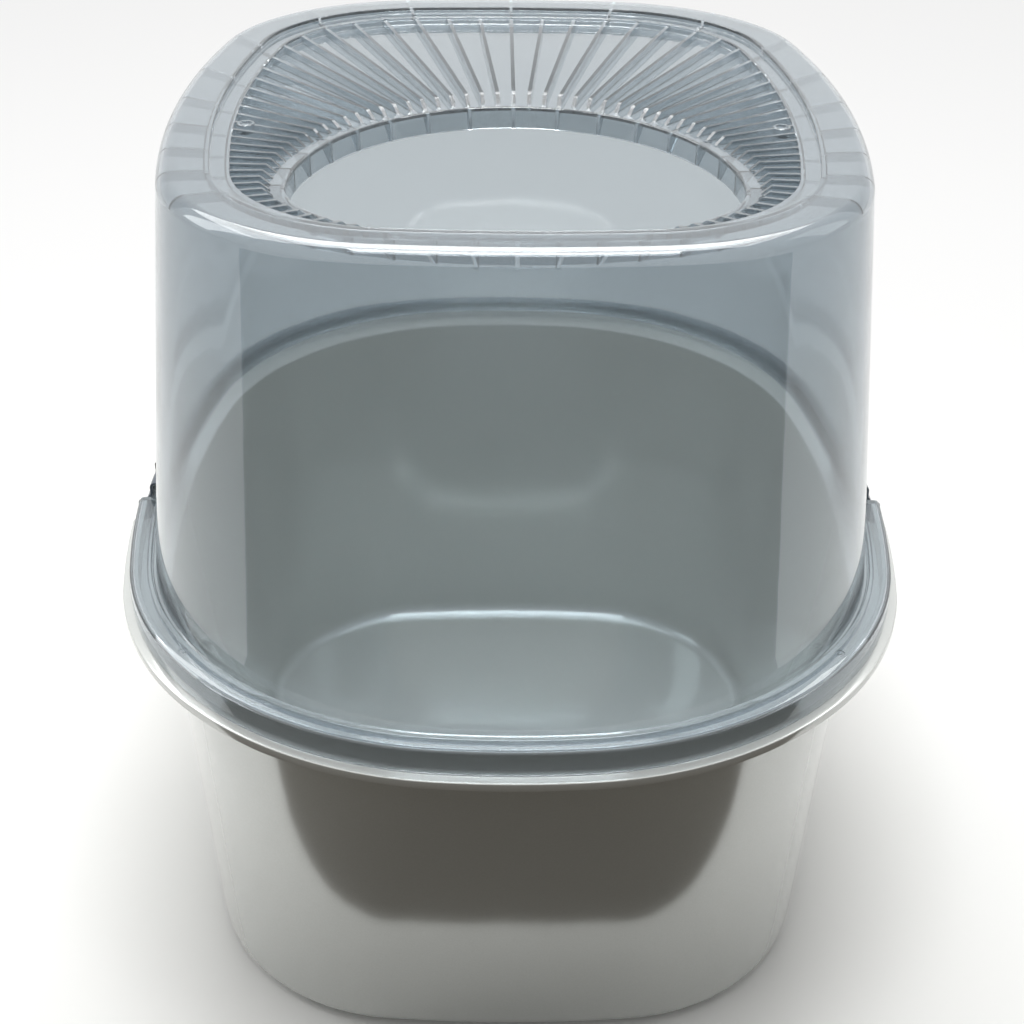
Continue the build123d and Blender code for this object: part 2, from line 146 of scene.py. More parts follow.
# %% [markdown]
# ## Walls as rows
# A moulding's wall is a stack of rows. Each row is one outline at one height, and neighbouring
# rows are joined by quads. The list of rows follows the wall's section all the way round, outside
# and inside, so the piece is a closed solid with its real wall thickness. Light then bends at
# both faces of the clear wall, as it does in the real one.

# %% Rows and sections
def row(curve, z):
    """One outline at height z."""
    return np.column_stack([curve, np.full(len(curve), float(z))])


def rounded(points, steps=3):
    """A section line (inset, z, radius) with its corners rounded.

    Each corner is replaced by a quadratic arc that starts and ends as far from the corner as a
    circle of that radius would, so its tangents meet the straight lines.
    """
    line = []
    for k, (d, z, r) in enumerate(points):
        here = np.array([d, z])
        if r == 0 or k in (0, len(points) - 1):
            line.append((d, z))
            continue
        before, after = np.array(points[k - 1][:2]) - here, np.array(points[k + 1][:2]) - here
        u, v = before / np.linalg.norm(before), after / np.linalg.norm(after)
        half = np.arccos(np.clip(u @ v, -1, 1)) / 2
        reach = r / np.tan(half)
        reach = min(reach, 0.5 * np.linalg.norm(before), 0.5 * np.linalg.norm(after))
        for t in np.linspace(0, 1, steps + 1):
            p = here + u * reach * (1 - t) ** 2 + v * reach * t ** 2
            line.append((float(p[0]), float(p[1])))
    return line


def parallel_rows(oval, points):
    """Rows of a section that is everywhere parallel to one oval."""
    return [row(oval_curve(inset(oval, d)), z) for d, z in rounded(points)]


def hole_rows(points):
    """Rows of a section round the entry hole, where the inset counts outwards from the hole."""
    return [row(hole_curve(d), z) for d, z in rounded(points)]


def wall_oval(z):
    """The outside of the hood's wall at height z."""
    return between(inset(FLANGE, ROOT_INSET), HOOD_EDGE, (z - ROOT_LOW) / (HOOD_TOP - ROOT_LOW))


def wall_rows(d, heights):
    """Rows of the hood's wall, drawn in by d."""
    return [row(oval_curve(inset(wall_oval(z), d)), z) for z in heights]


def shoulder_rows(d, steps=12):
    """A quarter round on the wall: at the angle a it is drawn in by R (1 - cos a), R sin a up."""
    r = SHOULDER_R - d
    turns = np.pi / 2 * np.arange(1, steps + 1) / steps
    edge = wall_oval(SHOULDER_LOW)
    return [row(oval_curve(inset(edge, d + r * (1 - np.cos(a)))), SHOULDER_LOW + r * np.sin(a))
            for a in turns]


# %% Meshes from rows and plates
def new_piece(name, verts, faces):
    """A mesh object from points in millimetres, turned inside out if its volume is negative."""
    verts = np.asarray(verts, float) / 1000
    volume = 0.0
    for size in sorted({len(f) for f in faces}):
        same = np.array([f for f in faces if len(f) == size])
        for k in range(1, size - 1):
            a, b, c = verts[same[:, 0]], verts[same[:, k]], verts[same[:, k + 1]]
            volume += np.einsum("ij,ij->", a, np.cross(b, c)) / 6
    if volume < 0:
        faces = [tuple(reversed(f)) for f in faces]
    mesh = bpy.data.meshes.new(name)
    mesh.from_pydata(verts.tolist(), [], [tuple(int(i) for i in f) for f in faces])
    piece = bpy.data.objects.new(name, mesh)
    bpy.context.scene.collection.objects.link(piece)
    return piece


def from_rows(name, rows, closed):
    """A grid of quads. A closed section joins its last row to its first, and an open one is
    capped by one flat face at each end."""
    grid = np.stack(rows)
    count, steps = grid.shape[:2]
    i, j = np.meshgrid(np.arange(count if closed else count - 1), np.arange(steps), indexing="ij")
    up, across = (i + 1) % count, (j + 1) % steps
    quads = np.stack([i * steps + j, i * steps + across, up * steps + across, up * steps + j], -1)
    faces = [tuple(q) for q in quads.reshape(-1, 4)]
    if not closed:
        faces += [tuple(range(steps))[::-1], tuple(range((count - 1) * steps, count * steps))]
    return new_piece(name, grid.reshape(-1, 3), faces)


def from_plates(name, sides):
    """Flat plates from pairs of outlines, an array of (plates, 2 faces, points, 3)."""
    plates, _, points, _ = sides.shape
    ring = np.arange(points)
    after = (ring + 1) % points
    faces = []
    for start in range(0, plates * 2 * points, 2 * points):
        faces.append(tuple(start + ring[::-1]))
        faces.append(tuple(start + points + ring))
        faces += [tuple(f) for f in
                  start + np.stack([ring, after, points + after, points + ring], -1)]
    return new_piece(name, sides.reshape(-1, 3), faces)


def block(low, high):
    """A box between two corners."""
    (x0, y0, z0), (x1, y1, z1) = low, high
    side = [[x0, z0], [x1, z0], [x1, z1], [x0, z1]]
    return prism([side], y0, y1)


def prism(outlines, y0, y1):
    """Straight bars along Y, from outlines in (x, z)."""
    flat = np.array(outlines, float)
    ends = [np.stack([flat[..., 0], np.full(flat.shape[:2], y), flat[..., 1]], -1)
            for y in (y0, y1)]
    return from_plates("bar", np.stack(ends, 1))


def combine(piece, other, operation):
    """Cut or join another solid, which is then removed."""
    change = piece.modifiers.new(operation, "BOOLEAN")
    change.operation, change.solver, change.object = operation, "MANIFOLD", other
    result = bpy.data.meshes.new_from_object(
        piece.evaluated_get(bpy.context.evaluated_depsgraph_get()))
    piece.modifiers.remove(change)
    piece.data = result
    bpy.data.objects.remove(other)
    return piece


def finish_shading(piece, degrees=32):
    """Smooth shading that stays crisp at edges sharper than the angle."""
    piece.data.shade_smooth()
    piece.data.set_sharp_from_angle(angle=np.radians(degrees))


# %% [markdown]
# ## The hood's wall
# The section starts at the foot of the skirt, goes over the flange, its groove and the small bead
# at the wall's root, up the wall, round the shoulder and down the two steps of the top to the
# collar of the entry hole. From there it comes back on the inside, one wall thickness away.

# %% Hood body
def hood_body():
    """The hood's closed section, swept round its outlines.

    A row without a radius beside a rounded corner keeps the flat next to it flat in the light.
    """
    bead = ROOT_INSET - ROOT_BEAD
    rim_under, ledge_under, plate_under = (z - HOOD_WALL for z in (HOOD_TOP, LEDGE_LOW, PLATE_LOW))
    groove_under = ROOT_LOW - HOOD_WALL
    rows = parallel_rows(FLANGE, [
        (HOOD_WALL / 2, SKIRT_LOW, 0), (0, SKIRT_LOW, 0.6), (0, FLANGE_TOP, FLANGE_EDGE_R),
        (RING_WIDTH, FLANGE_TOP, 0.9), (RING_WIDTH, ROOT_LOW, 0.4), (bead, ROOT_LOW, 0.3),
        (bead, ROOT_LOW + ROOT_BEAD_HEIGHT, 0.5), (ROOT_INSET, ROOT_LOW + ROOT_BEAD_HEIGHT, 0)])
    rows += wall_rows(0, np.linspace(ROOT_LOW + 1.6, SHOULDER_LOW, 14))
    rows += shoulder_rows(0)
    rows += parallel_rows(RIM_INNER, [
        (-1.5, HOOD_TOP, 0), (0, HOOD_TOP, 0.7), (0, LEDGE_LOW, 0.5),
        (LEDGE_WIDTH, LEDGE_LOW, 0.7), (LEDGE_WIDTH, PLATE_LOW, 0.5),
        (LEDGE_WIDTH + 1.5, PLATE_LOW, 0)])
    rows += hole_rows([
        (1.6, PLATE_LOW, 0), (0, PLATE_LOW, 0.8), (0, COLLAR_LOW, 0.8),
        (HOOD_WALL, COLLAR_LOW, 0.8), (HOOD_WALL, plate_under, 0)])
    rows += parallel_rows(RIM_INNER, [
        (LEDGE_WIDTH - HOOD_WALL + 1.5, plate_under, 0),
        (LEDGE_WIDTH - HOOD_WALL, plate_under, 0.7), (LEDGE_WIDTH - HOOD_WALL, ledge_under, 0.4),
        (-HOOD_WALL, ledge_under, 0.7), (-HOOD_WALL, rim_under, 0.3),
        (-HOOD_WALL - 1.0, rim_under, 0)])
    rows += shoulder_rows(HOOD_WALL, 8)[::-1]
    rows += wall_rows(HOOD_WALL, np.linspace(SHOULDER_LOW, groove_under, 14))
    rows += parallel_rows(FLANGE, [
        (RING_WIDTH + HOOD_WALL, groove_under, 0), (RING_WIDTH - HOOD_WALL, groove_under, 0.5),
        (RING_WIDTH - HOOD_WALL, FLANGE_TOP - HOOD_WALL, 0.4),
        (HOOD_WALL, FLANGE_TOP - HOOD_WALL, 1.7), (HOOD_WALL, SKIRT_LOW, 0.6),
        (HOOD_WALL * 0.75, SKIRT_LOW, 0)])
    return from_rows("hood_clear", rows, closed=True)


hood = hood_body()
print("hood body", len(hood.data.polygons), "quads")

# %% [markdown]
# ## The rib fan
# Upright ribs stand on the top plate. They all point at one line over the entry hole, like the
# spokes of a wheel, and slope down to the smooth ring round the collar. Every third rib is carried
# on by a gusset beside the collar and, except at the front, by one under the rim. Each one is a
# flat plate: an outline of (distance from the line, height), given a thickness.

# %% Distances from the ribs' line
RIB_COUNT, RIB_THICK, RIB_SLOPE, RIB_FOCUS_Y = 90, 2.0, 4.5, -95.6
RIB_BELOW_LEDGE, RIB_SOFT = 0.3, 0.35
COLLAR_RING = (6.5, 6.0, 1.5)
GUSSET_THICK, COLLAR_GUSSET, RIM_GUSSET_DEPTH, GUSSETS_END = 1.8, 9.0, 0.6, -0.45
DENSE = 2 * np.pi * np.arange(2880) / 2880


def reach(curve, angles):
    """Distance from the ribs' line to an outline, along each angle."""
    from_line = curve - [0, RIB_FOCUS_Y]
    around = np.arctan2(from_line[:, 1], from_line[:, 0])
    return np.interp(angles, around, np.hypot(*from_line.T), period=2 * np.pi)


def to_oval(oval, angles):
    """Distance to an oval."""
    return reach(oval_curve(oval, DENSE), angles)


def to_hole(angles, side, back, front):
    """Distance to the hole, grown by its own amount to the sides, back and front."""
    a = HOLE_HALF_WIDTH + side
    b = np.where(np.sin(DENSE) >= 0, HOLE_BACK + back, HOLE_FRONT + front)
    edge = np.column_stack([a * np.cos(DENSE), HOLE_WIDEST_Y + b * np.sin(DENSE)])
    return reach(edge, angles)


def fan(name, angles, outline, thick):
    """Upright plates: a point (t, z) of an outline lies t along its angle from the ribs' line,
    half the thickness to each side."""
    t = np.stack([np.broadcast_to(d, angles.shape) for d, _ in outline], -1)
    z = np.stack([np.broadcast_to(h, angles.shape) for _, h in outline], -1)
    ahead = np.stack([np.cos(angles), np.sin(angles)], -1)[:, None]
    aside = np.stack([-np.sin(angles), np.cos(angles)], -1)[:, None]
    sides = [np.concatenate([t[..., None] * ahead + s * thick / 2 * aside + [0, RIB_FOCUS_Y],
                             z[..., None]], -1) for s in (-1, 1)]
    return from_plates(name, np.stack(sides, 1))


# %% Ribs and gussets
# The rim has gussets wherever the sine of their angle is over GUSSETS_END, so none at the front.
rib_angles = np.pi / 2 + 2 * np.pi * np.arange(RIB_COUNT) / RIB_COUNT
gusset_angles = rib_angles[::3]
rim_gusset_angles = gusset_angles[np.sin(gusset_angles) > GUSSETS_END]
half_wall = HOOD_WALL / 2
LEDGE_INNER = inset(RIM_INNER, LEDGE_WIDTH)


def ribs():
    """Ribs from the collar's smooth ring to the ledge's step, a little lower than the ledge."""
    inner = to_hole(rib_angles, *COLLAR_RING)
    outer = to_oval(inset(LEDGE_INNER, -half_wall), rib_angles)
    low, high = PLATE_LOW - half_wall, LEDGE_LOW - RIB_BELOW_LEDGE
    return fan("ribs", rib_angles, [
        (inner, low), (outer, low), (outer, high), (inner + RIB_SLOPE + RIB_SOFT, high),
        (inner + RIB_SLOPE - RIB_SOFT, high - RIB_SOFT), (inner, PLATE_LOW)], RIB_THICK)


def rim_gussets():
    """Gussets under rim and ledge, out to the round shoulder, except at the front."""
    r, edge = SHOULDER_R - half_wall, wall_oval(SHOULDER_LOW)
    low = LEDGE_LOW - HOOD_WALL - RIM_GUSSET_DEPTH
    turns = np.linspace(np.arcsin((low - SHOULDER_LOW) / r), np.pi / 2, 5)
    inner = to_oval(inset(LEDGE_INNER, -half_wall), rim_gusset_angles)
    step = to_oval(inset(RIM_INNER, -half_wall), rim_gusset_angles)
    outline = [(inner, low)]
    outline += [(to_oval(inset(edge, half_wall + r * (1 - np.cos(a))), rim_gusset_angles),
                 SHOULDER_LOW + r * np.sin(a)) for a in turns]
    outline += [(step, HOOD_TOP - half_wall), (step, LEDGE_LOW - half_wall),
                (inner, LEDGE_LOW - half_wall)]
    return fan("rim_gussets", rim_gusset_angles, outline, GUSSET_THICK)


def collar_gussets():
    """Small triangles between the collar's outside and the plate."""
    inner = to_hole(gusset_angles, half_wall, half_wall, half_wall)
    top = PLATE_LOW - half_wall
    return fan("collar_gussets", gusset_angles, [
        (inner, COLLAR_LOW), (inner + HOOD_WALL, COLLAR_LOW), (inner + COLLAR_GUSSET, top),
        (inner, top)], GUSSET_THICK)


for make in (ribs, rim_gussets, collar_gussets):
    combine(hood, make(), "UNION")
    print("with", make.__name__, len(hood.data.polygons), "faces")


# %% Marks of the mould's pins
def pin(x, y, r, low, high, soft):
    """An upright pin: two circles of one radius, and a smaller one that softens its top edge."""
    a = 2 * np.pi * np.arange(32) / 32
    rows = [np.column_stack([x + d * np.cos(a), y + d * np.sin(a), np.full(32, z)])
            for d, z in ((r, low), (r, high - soft), (r - soft, high))]
    return from_rows("pin", rows, closed=False)


BOSS, RING_MARK = (129.5, -33.3), (155.7, -175.5)
for side in (-1, 1):
    for (x, y), r, low, high, soft, operation in (
            (BOSS, 4.5, PLATE_LOW - half_wall, LEDGE_LOW + 0.2, 0.4, "UNION"),
            (BOSS, 3.0, LEDGE_LOW - 0.6, LEDGE_LOW + 1.0, 0.2, "DIFFERENCE"),
            (RING_MARK, 2.4, FLANGE_TOP - 0.5, FLANGE_TOP + 1.0, 0.2, "DIFFERENCE"),
            (RING_MARK, 1.2, FLANGE_TOP - 0.9, FLANGE_TOP + 0.1, 0.3, "UNION")):
        combine(hood, pin(side * x, y, r, low, high, soft), operation)
print("with pin marks", len(hood.data.polygons), "faces")

# %% [markdown]
# ## Clip recesses
# At each side the skirt turns inwards to make room for a clip, and a thin rod on two lugs stands
# there. The clip snaps onto the rod and turns on it. They are cut and joined with booleans, as a
# mould maker cuts them into the tool. A cutting block goes 1 mm past what it cuts.

# %% Recesses and rods
def cylinder_outline(x, z, r, steps=32):
    """A circle in (x, z)."""
    a = 2 * np.pi * np.arange(steps) / steps
    return np.column_stack([x + r * np.cos(a), z + r * np.sin(a)])


def slab(oval, low, high):
    """A flat plate with an oval outline."""
    return from_rows("slab", [row(oval_curve(oval), low), row(oval_curve(oval), high)], False)


PAST = 1
for side in (-1, 1):
    xs = sorted((side * (RECESS_FACE - HOOD_WALL), side * (FLANGE[0] + PAST)))
    wall = block((xs[0], -RECESS_HALF - HOOD_WALL, SKIRT_LOW),
                 (xs[1], RECESS_HALF + HOOD_WALL, FLANGE_TOP - FLANGE_EDGE_R / 2))
    combine(hood, combine(wall, slab(FLANGE, SKIRT_LOW, FLANGE_TOP), "INTERSECT"), "UNION")
    xs = sorted((side * RECESS_FACE, side * (FLANGE[0] + PAST)))
    combine(hood, block((xs[0], -RECESS_HALF, SKIRT_LOW - PAST),
                        (xs[1], RECESS_HALF, FLANGE_TOP + PAST)), "DIFFERENCE")
    for y in (-LUG_Y, LUG_Y):
        combine(hood, block((side * AXIS_X - ROD_R, y - LUG_HALF, ROOT_LOW - half_wall),
                            (side * AXIS_X + ROD_R, y + LUG_HALF, AXIS_Z)), "UNION")
    rod = cylinder_outline(side * AXIS_X, AXIS_Z, ROD_R)
    combine(hood, prism([rod], -ROD_HALF, ROD_HALF), "UNION")
finish_shading(hood)
print("hood", len(hood.data.polygons), "faces")

# %% [markdown]
# ## The pan
# The pan's section starts under the floor, goes round the foot and up the wall to a flat ledge
# with a turned-down lip. An upstand inside the ledge locates the hood's skirt. The inside follows
# one wall thickness in, and rounds into the floor so that it can be scooped clean.

# %% Pan body
def foot_oval(z):
    """The outside of the foot at height z, which leans outwards by the foot's draft."""
    return inset(PAN_FOOT, np.tan(FOOT_DRAFT) * (FOOT_HEIGHT - z))


def foot_rows(d, r, floor, steps=10):
    """A round foot edge: from flat on the floor it turns up to the wall's lean."""
    turns = (np.pi / 2 - FOOT_DRAFT) * np.arange(steps + 1) / steps
    centre = inset(foot_oval(floor + r), d + r / np.cos(FOOT_DRAFT))
    return [row(oval_curve(inset(centre, -r * np.sin(a))), floor + r * (1 - np.cos(a)))
            for a in turns]


def pan_wall_rows(d, shares):
    """Rows of the pan's wall between foot and ledge."""
    return [row(oval_curve(inset(between(PAN_FOOT, PAN_TOP, t), d)),
                FOOT_HEIGHT + (PAN_LEDGE - FOOT_HEIGHT) * t) for t in shares]


def pan_body():
    """The pan's section, open at its two flat ends, which are the floor's two faces."""
    ledge_share = 1 - LEDGE_THICK / (PAN_LEDGE - FOOT_HEIGHT)
    ring = inset(foot_oval(0), FOOT_ROUND + 9.0)
    rows = [row(oval_curve(inset(ring, 1.0)), 1.0), row(oval_curve(ring), 0.0)]
    rows += foot_rows(0, FOOT_ROUND, 0)
    rows += pan_wall_rows(0, np.linspace(0, ledge_share, 12))
    rows += parallel_rows(FLANGE, [
        (14.0, PAN_LEDGE - LEDGE_THICK, 0),
        (LEDGE_THICK - LIP_PROUD, PAN_LEDGE - LEDGE_THICK, 0.5),
        (LEDGE_THICK - LIP_PROUD, PAN_LEDGE - LIP_HEIGHT, 0.6),
        (-LIP_PROUD, PAN_LEDGE - LIP_HEIGHT, 0.6), (-LIP_PROUD, PAN_LEDGE, 1.0),
        (UPSTAND_OUTER, PAN_LEDGE, 0.4), (UPSTAND_OUTER, UPSTAND_TOP, 0.8),
        (UPSTAND_INNER, UPSTAND_TOP, 0.8), (UPSTAND_INNER, PAN_LEDGE, 0.5),
        (13.0, PAN_LEDGE, 0)])
    rows += pan_wall_rows(PAN_WALL, np.linspace(1, 0, 12))
    rows += foot_rows(PAN_WALL, FOOT_ROUND - PAN_WALL, PAN_FLOOR)[::-1]
    return from_rows("pan_silver", rows, closed=False)


# %% Notches in the pan's lip and upstand
# The lip is cut back for the clip, and the upstand for the wall of the hood's recess.
pan = pan_body()
PAST_LIP, NOTCH_DEPTH = 9, 4.8
for side in (-1, 1):
    xs = sorted((side * CATCH_X, side * (FLANGE[0] + PAST_LIP)))
    combine(pan, block((xs[0], -RECESS_HALF, PAN_LEDGE - LIP_HEIGHT - PAST),
                       (xs[1], RECESS_HALF, UPSTAND_TOP + PAST)), "DIFFERENCE")
    half = RECESS_HALF + HOOD_WALL + CLEARANCE
    xs = sorted((side * (FLANGE[0] - UPSTAND_OUTER - NOTCH_DEPTH), side * (FLANGE[0] - CLEARANCE)))
    combine(pan, block((xs[0], -half, PAN_LEDGE), (xs[1], half, UPSTAND_TOP + PAST)), "DIFFERENCE")
finish_shading(pan)
print("pan", len(pan.data.polygons), "faces")

# %% [markdown]
# ## The clips
# Each clip is one strip of springy plastic, the same section all along. A part ring snaps round
# the hood's rod, an arm runs down past the flange, a bead catches under the pan's lip, and a
# small tab turns out for a finger.

# %% Clips
def clip_outline():
    """End view about the hinge: the part ring goes round from 0 to 215 degrees, and the arm
    hangs from its open end. The bead's top is 0.6 mm under the pan's ledge."""
    inner, outer = CLIP_RING_R, CLIP_RING_R + CLIP_RING_WALL
    a = np.radians(np.linspace(0, 215, 30))
    ring = [(outer * np.cos(t), outer * np.sin(t)) for t in a]
    ring += [(inner * np.cos(t), inner * np.sin(t)) for t in a[::-1]]
    arm_in = CATCH_X - AXIS_X + ARM_GAP
    arm_out, bead = arm_in + CLIP_ARM, arm_in - 1.2
    neck, elbow = -3.6, -6.0
    top = PAN_LEDGE - LEDGE_THICK - 0.6 - AXIS_Z
    low = top - 2.2
    tab_out, tab_low = 4, low - 5
    return np.array(ring + [
        (inner, neck), (arm_in, elbow), (arm_in, top), (bead, top - 0.6),
        (bead, low + 0.6), (arm_in, low), (arm_in + tab_out, tab_low),
        (arm_out + tab_out, tab_low), (arm_out, low), (arm_out, elbow), (outer, neck)])


def clip(side, name):
    """One clip, with softly rounded edges. A slot lets each lug of the rod through: above the
    axis right through the ring, and below it on the inner side, where the clip swings."""
    outline = clip_outline() * [side, 1] + [side * AXIS_X, AXIS_Z]
    piece = prism([outline], -CLIP_HALF, CLIP_HALF)
    for y in (-LUG_Y, LUG_Y):
        for x0, x1, z0, z1 in ((-7, 7, 0, 7), (-11.8, 2.2, -7, 7)):
            xs = sorted((side * (AXIS_X + x0), side * (AXIS_X + x1)))
            combine(piece, block((xs[0], y - SLOT_HALF, AXIS_Z + z0),
                                 (xs[1], y + SLOT_HALF, AXIS_Z + z1)), "DIFFERENCE")
    piece.name = name
    soften = piece.modifiers.new("edges", "BEVEL")
    soften.width, soften.segments, soften.angle_limit = 0.00025, 2, np.radians(40)
    finish_shading(piece)
    return piece


clips = {"clip_left": clip(-1, "clip_dark_left"), "clip_right": clip(1, "clip_dark_right")}
print("clips", [len(c.data.polygons) for c in clips.values()], "faces")

# %% [markdown]
# ## Materials
# Each finish starts from the real plastic. Colours are written as they look on screen, and one
# function turns them into the linear values that light works with. Another adds a node with its
# settings and its links.

# %% Colour and node helpers
def linear(text):
    """An sRGB hex colour as linear red, green, blue and alpha: c / 12.92 for the darkest
    values, and ((c + 0.055) / 1.055) ^ 2.4 for the rest."""
    c = np.array([int(text[k:k + 2], 16) for k in (1, 3, 5)]) / 255
    c = np.where(c <= 0.04045, c / 12.92, ((c + 0.055) / 1.055) ** 2.4)
    return (*c.tolist(), 1.0)


def add(tree, kind, settings=None, values=None, links=None):
    """A node with its settings, its plain socket values and the links into it."""
    made = tree.nodes.new(kind)
    for key, value in (settings or {}).items():
        setattr(made, key, value)
    for key, value in (values or {}).items():
        made.inputs[key].default_value = value
    for key, source in (links or {}).items():
        tree.links.new(source, made.inputs[key])
    return made


def empty_material(name):
    """A material with nothing in it yet but its output."""
    material = bpy.data.materials.new(name)
    material.use_nodes = True
    material.node_tree.nodes.clear()
    return material, material.node_tree, add(material.node_tree, "ShaderNodeOutputMaterial")


def per_mm(size):
    """Texture scale for a pattern whose features are this many millimetres apart."""
    return 1000 / size


# %% Clear smoke grey styrene, injection moulded
# Styrene plastics bend light by 1.57. The wall is glossy on both sides, and the steel mould
# leaves very faint waves some centimetres apart, which is what makes reflections waver.
def clear_styrene():
    """The hood's plastic. Lamps and scattered light pass straight through with its tint."""
    material, tree, out = empty_material("clear smoke styrene, moulded")
    place = add(tree, "ShaderNodeTexCoord")
    waves = add(tree, "ShaderNodeTexNoise", values={"Scale": per_mm(70), "Detail": 2.0},
                links={"Vector": place.outputs["Object"]})
    dents = add(tree, "ShaderNodeBump", values={"Strength": 0.05, "Distance": 0.004},
                links={"Height": waves.outputs["Fac"]})
    haze = add(tree, "ShaderNodeTexNoise", values={"Scale": per_mm(45), "Detail": 2.0},
               links={"Vector": place.outputs["Object"]})
    rough = add(tree, "ShaderNodeMapRange", values={"To Min": 0.03, "To Max": 0.045},
                links={"Value": haze.outputs["Fac"]})
    plastic = add(tree, "ShaderNodeBsdfPrincipled",
                  values={"Base Color": linear("#C3CBD0"), "IOR": 1.57,
                          "Transmission Weight": 0.95},
                  links={"Roughness": rough.outputs["Result"], "Normal": dents.outputs["Normal"]})
    through = add(tree, "ShaderNodeBsdfTransparent", values={"Color": linear("#FAFBFC")})
    ray = add(tree, "ShaderNodeLightPath")
    passing = add(tree, "ShaderNodeMath", {"operation": "MAXIMUM"})
    tree.links.new(ray.outputs["Is Shadow Ray"], passing.inputs[0])
    tree.links.new(ray.outputs["Is Diffuse Ray"], passing.inputs[1])
    both = add(tree, "ShaderNodeMixShader", links={"Fac": passing.outputs[0]})
    tree.links.new(plastic.outputs[0], both.inputs[1])
    tree.links.new(through.outputs[0], both.inputs[2])
    tree.links.new(both.outputs[0], out.inputs["Surface"])
    return material


# %% Silver grey polypropylene with flake pigment, injection moulded
# Fine metal flakes in the plastic make its surface mirror the room broadly, under a glossy skin
# that mirrors it sharply. The flakes are under 0.1 mm, so they are drawn 1 mm apart to show.
def silver_polypropylene():
    """The pan's plastic."""
    material, tree, out = empty_material("silver polypropylene, moulded")
    place = add(tree, "ShaderNodeTexCoord")
    flakes = add(tree, "ShaderNodeTexNoise", values={"Scale": per_mm(1.0), "Detail": 2.0},
                 links={"Vector": place.outputs["Object"]})
    colour = add(tree, "ShaderNodeMix", {"data_type": "RGBA"},
                 links={"Factor": flakes.outputs["Fac"]})
    colour.inputs["A"].default_value = linear("#C4C6C3")
    colour.inputs["B"].default_value = linear("#CED0CD")
    cloud = add(tree, "ShaderNodeTexNoise", values={"Scale": per_mm(60), "Detail": 3.0},
                links={"Vector": place.outputs["Object"]})
    rough = add(tree, "ShaderNodeMapRange", values={"To Min": 0.11, "To Max": 0.15},
                links={"Value": cloud.outputs["Fac"]})
    dents = add(tree, "ShaderNodeBump", values={"Strength": 0.04, "Distance": 0.003},
                links={"Height": cloud.outputs["Fac"]})
    plastic = add(tree, "ShaderNodeBsdfPrincipled",
                  values={"Metallic": 0.48, "Coat Weight": 0.45, "Coat Roughness": 0.04,
                          "IOR": 1.5},
                  links={"Base Color": colour.outputs["Result"],
                         "Roughness": rough.outputs["Result"], "Normal": dents.outputs["Normal"]})
    tree.links.new(plastic.outputs[0], out.inputs["Surface"])
    return material


# %% Dark blue grey acetal, injection moulded
# Acetal springs well and slides on the rod. Its surface is a little duller than the hood's.
def dark_acetal():
    """The clips' plastic, with a fine even grain."""
    material, tree, out = empty_material("dark acetal, moulded")
    place = add(tree, "ShaderNodeTexCoord")
    grain = add(tree, "ShaderNodeTexNoise", values={"Scale": per_mm(1.5), "Detail": 2.0},
                links={"Vector": place.outputs["Object"]})
    colour = add(tree, "ShaderNodeMix", {"data_type": "RGBA"},
                 links={"Factor": grain.outputs["Fac"]})
    colour.inputs["A"].default_value = linear("#3E454E")
    colour.inputs["B"].default_value = linear("#4A525C")
    rough = add(tree, "ShaderNodeMapRange", values={"To Min": 0.25, "To Max": 0.35},
                links={"Value": grain.outputs["Fac"]})
    plastic = add(tree, "ShaderNodeBsdfPrincipled", values={"IOR": 1.48},
                  links={"Base Color": colour.outputs["Result"],
                         "Roughness": rough.outputs["Result"]})
    tree.links.new(plastic.outputs[0], out.inputs["Surface"])
    return material


# %% Put each piece on its body
acetal = dark_acetal()
for piece, node, body, slot, material in (
        (hood, "hood", "hood", "hood_plastic", clear_styrene()),
        (pan, "litter_pan", "pan", "pan_plastic", silver_polypropylene()),
        (clips["clip_left"], "clip_left", "clip_left", "clip_plastic", acetal),
        (clips["clip_right"], "clip_right", "clip_right", "clip_plastic", acetal)):
    piece.data.materials.clear()
    piece.data.materials.append(material)
    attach(piece, body)
    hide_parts(node)
    print(piece.name, "rides on", body)

# %% [markdown]
# ## Floor, light and camera
# The photograph has a white surround and soft room light. A wide pale floor and a white world give
# that. A glossy object is lit as much by what it mirrors as by lamps, so there are two things that
# only reflections see, as a photographer would place them. A dark card on the floor in front makes
# the dark arc on the pan. A bright panel overhead makes the highlight along the hood's shoulder.
# The world's light leans: a little more comes from the back, the left and above.

# %% Floor, card and panel, in metres
FLOOR_HALF = 8.0
WHITE_FROM, WHITE_FULL, WHITE_SHARE = 0.35, 0.9, 0.75
CARD_HALF, CARD_NEAR, CARD_HEIGHT, CARD_EDGE = 1.8, -5.0, 0.002, -0.258
CARD_RISE, RISE_AT, RISE_WIDTH = 0.042, 0.30, 0.15
CARD_FALL, FALL_FROM, FALL_POWER = 0.27, 0.55, 1.2
PANEL_X, PANEL_Y, PANEL_HEIGHT = (-1.7, 1.1), (-0.25, 1.7), 1.98


def stage_plane(name, outline, z, material):
    """A flat sheet that is not part of the object."""
    mesh = bpy.data.meshes.new(name)
    mesh.from_pydata([(x, y, z) for x, y in outline], [], [tuple(range(len(outline)))])
    plane = bpy.data.objects.new(name, mesh)
    bpy.context.scene.collection.objects.link(plane)
    mesh.materials.append(material)
    return plane


def rectangle(xs, ys):
    """Its four corners, anticlockwise from above, so that it faces up."""
    return [(xs[0], ys[0]), (xs[1], ys[0]), (xs[1], ys[1]), (xs[0], ys[1])]


